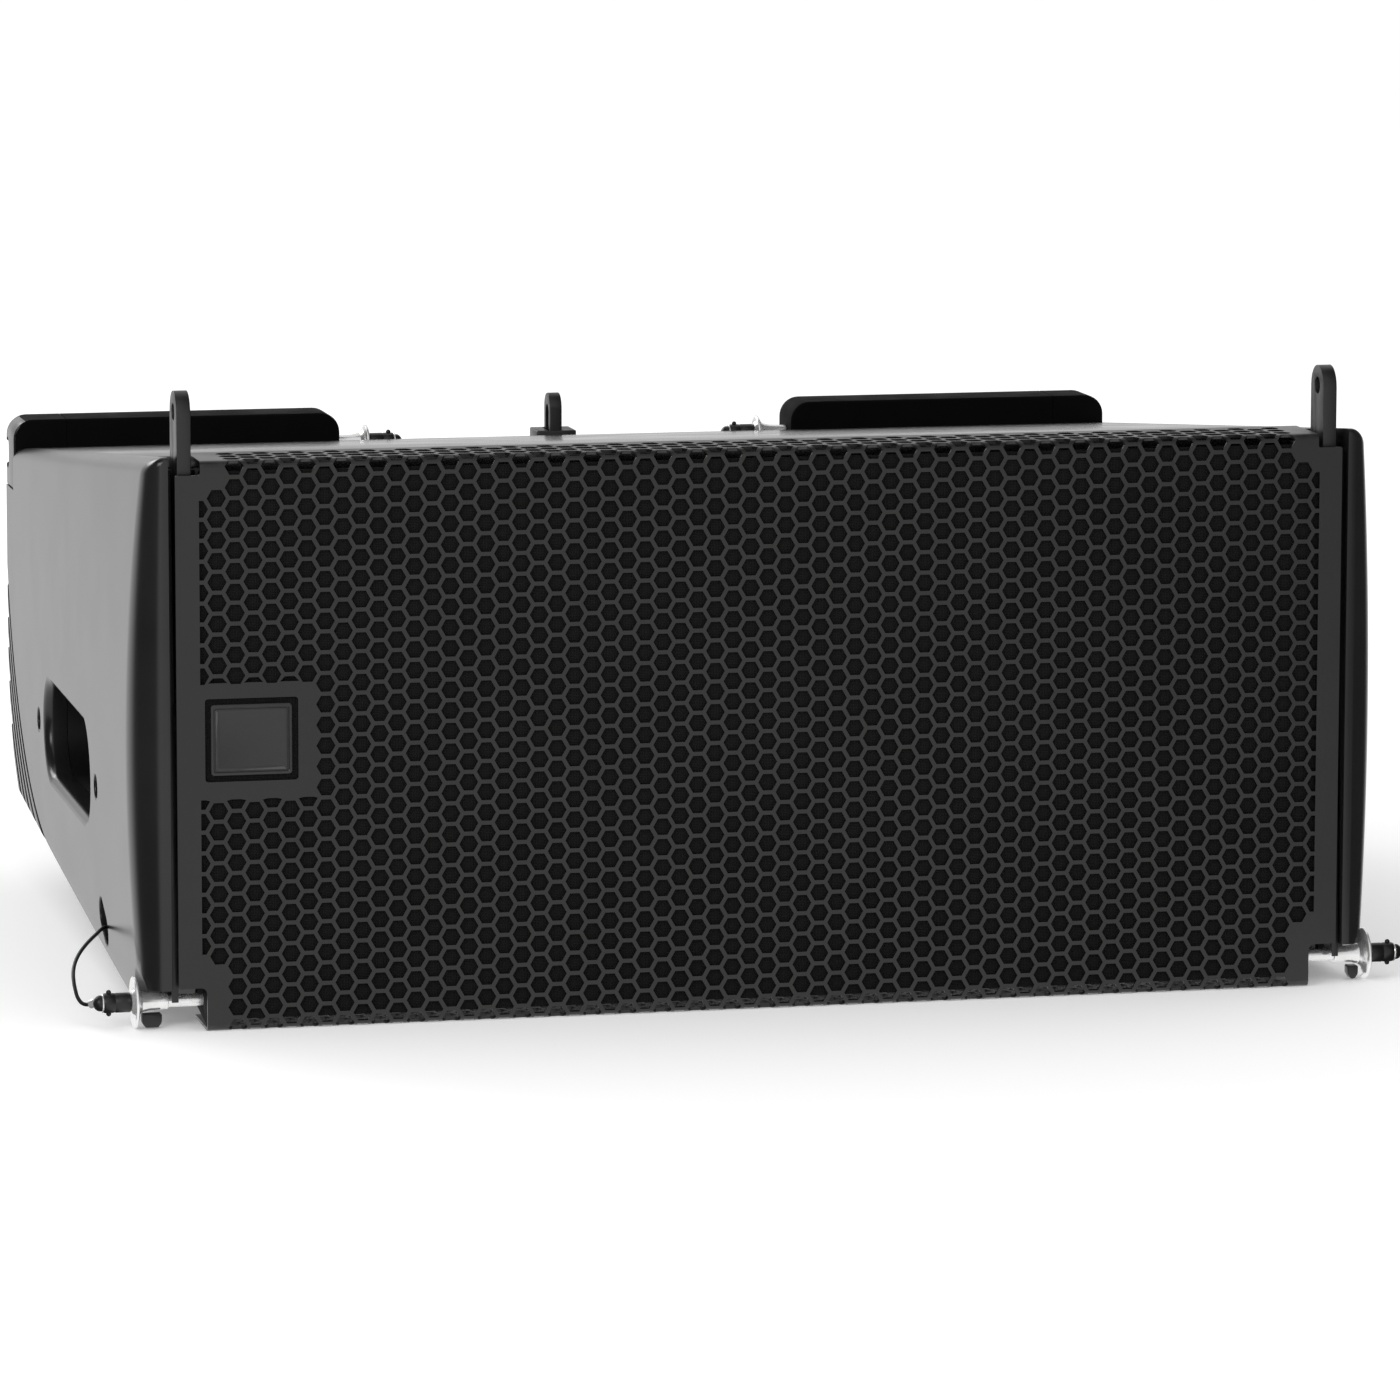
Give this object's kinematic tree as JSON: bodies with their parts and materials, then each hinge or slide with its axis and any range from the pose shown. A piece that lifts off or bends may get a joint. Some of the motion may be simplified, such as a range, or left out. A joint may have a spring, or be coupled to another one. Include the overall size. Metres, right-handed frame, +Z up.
{
  "type": "line array speaker",
  "caption": "Wedge-shaped line array loudspeaker element with a hexagonal steel grille, side handle pockets, slide-up rigging links and quick-release pins.",
  "frame": {"origin": "middle of the footprint, on the plane of the grille's lower edge", "axes": "+X to the viewer's right when facing the grille, +Y from the grille towards the rear, +Z up"},
  "size_m": [0.6375, 0.4978, 0.2955],
  "materials": {
    "cabinet": "satin black paint with a fine orange-peel texture over plywood",
    "cheek": "satin black moulded plastic",
    "grille": "dark grey powder coat on perforated steel",
    "foam": "black acoustic cloth",
    "badge": "dark anodised plaque",
    "rigging": "dark grey powder-coated steel",
    "steel": "bright stainless steel",
    "grip": "satin black plastic",
    "rubber": "black rubber",
    "cone": "coated black paper",
    "magnet": "ferrite and plated steel",
    "plywood": "bare birch plywood",
    "board": "green circuit board with parts",
    "guide": "dark grey nylon",
    "screw": "black zinc screws"
  },
  "bodies": {
    "root": {"cheek_right": "cheek", "cheek_left": "cheek", "cheek_screw_front_right": "screw", "cheek_screw_front_left": "screw", "cheek_screw_rear_right": "screw", "cheek_screw_rear_left": "screw", "cabinet_bottom": "cabinet", "cabinet_top": "cabinet", "cabinet_wall_right": "plywood", "cabinet_wall_left": "plywood", "baffle": "plywood", "rear_step": "cabinet", "rear_panel": "cabinet", "rear_cover": "cheek", "handle_cup_right": "grip", "handle_cup_left": "grip", "grille": "grille", "grille_cloth": "foam", "badge": "badge", "front_bracket_right": "rigging", "front_bracket_left": "rigging", "link_guide_right": "guide", "link_guide_left": "guide", "rear_foot_right": "rubber", "rear_foot_left": "rubber", "rear_link_bracket": "rigging", "connector_plate": "rigging", "connector_in": "grip", "connector_link": "grip", "woofer_left_basket": "rigging", "woofer_left_surround": "rubber", "woofer_left_magnet": "magnet", "woofer_right_basket": "rigging", "woofer_right_surround": "rubber", "woofer_right_magnet": "magnet", "horn": "grip", "horn_driver": "magnet", "crossover_board": "board"},
    "front_link_left": {"front_link_left": "rigging"},
    "front_link_right": {"front_link_right": "rigging"},
    "rear_link": {"rear_link": "rigging"},
    "front_pin_left": {"front_pin_left_body": "steel", "front_pin_left_sleeve": "grip", "front_pin_left_tab": "grip", "lanyard_ferrule": "steel", "lanyard": "rubber"},
    "front_pin_left_button": {"front_pin_left_button": "grip"},
    "rear_pin_left": {"rear_pin_left_body": "steel", "rear_pin_left_sleeve": "grip"},
    "rear_pin_left_button": {"rear_pin_left_button": "grip"},
    "front_pin_right": {"front_pin_right_body": "steel", "front_pin_right_sleeve": "grip", "front_pin_right_tab": "grip"},
    "front_pin_right_button": {"front_pin_right_button": "grip"},
    "rear_pin_right": {"rear_pin_right_body": "steel", "rear_pin_right_sleeve": "grip"},
    "rear_pin_right_button": {"rear_pin_right_button": "grip"},
    "woofer_left_cone": {"woofer_left_cone": "cone"},
    "woofer_right_cone": {"woofer_right_cone": "cone"}
  },
  "joints": [
    {"name": "front_link_left_slide", "type": "slide", "parent": "root", "child": "front_link_left", "axis": [0, 0, 1], "range_m": [-0.042, 0]},
    {"name": "front_link_right_slide", "type": "slide", "parent": "root", "child": "front_link_right", "axis": [0, 0, 1], "range_m": [-0.042, 0]},
    {"name": "rear_link_slide", "type": "slide", "parent": "root", "child": "rear_link", "axis": [0, 0, 1], "range_m": [-0.03, 0]},
    {"name": "front_pin_left_pull", "type": "slide", "parent": "root", "child": "front_pin_left", "axis": [-1, 0, 0], "range_m": [0, 0.03]},
    {"name": "front_pin_left_press", "type": "slide", "parent": "front_pin_left", "child": "front_pin_left_button", "axis": [1, 0, 0], "range_m": [0, 0.0025], "stiffness_N_per_m": 300},
    {"name": "front_pin_right_pull", "type": "slide", "parent": "root", "child": "front_pin_right", "axis": [1, 0, 0], "range_m": [0, 0.03]},
    {"name": "front_pin_right_press", "type": "slide", "parent": "front_pin_right", "child": "front_pin_right_button", "axis": [-1, 0, 0], "range_m": [0, 0.0025], "stiffness_N_per_m": 300},
    {"name": "rear_pin_left_pull", "type": "slide", "parent": "root", "child": "rear_pin_left", "axis": [1, 0, 0], "range_m": [0, 0.03]},
    {"name": "rear_pin_left_press", "type": "slide", "parent": "rear_pin_left", "child": "rear_pin_left_button", "axis": [-1, 0, 0], "range_m": [0, 0.0025], "stiffness_N_per_m": 300},
    {"name": "rear_pin_right_pull", "type": "slide", "parent": "root", "child": "rear_pin_right", "axis": [-1, 0, 0], "range_m": [0, 0.03]},
    {"name": "rear_pin_right_press", "type": "slide", "parent": "rear_pin_right", "child": "rear_pin_right_button", "axis": [1, 0, 0], "range_m": [0, 0.0025], "stiffness_N_per_m": 300},
    {"name": "woofer_left_travel", "type": "slide", "parent": "root", "child": "woofer_left_cone", "axis": [0, 1, 0], "range_m": [-0.006, 0.006], "stiffness_N_per_m": 2000},
    {"name": "woofer_right_travel", "type": "slide", "parent": "root", "child": "woofer_right_cone", "axis": [0, 1, 0], "range_m": [-0.006, 0.006], "stiffness_N_per_m": 2000}
  ]
}
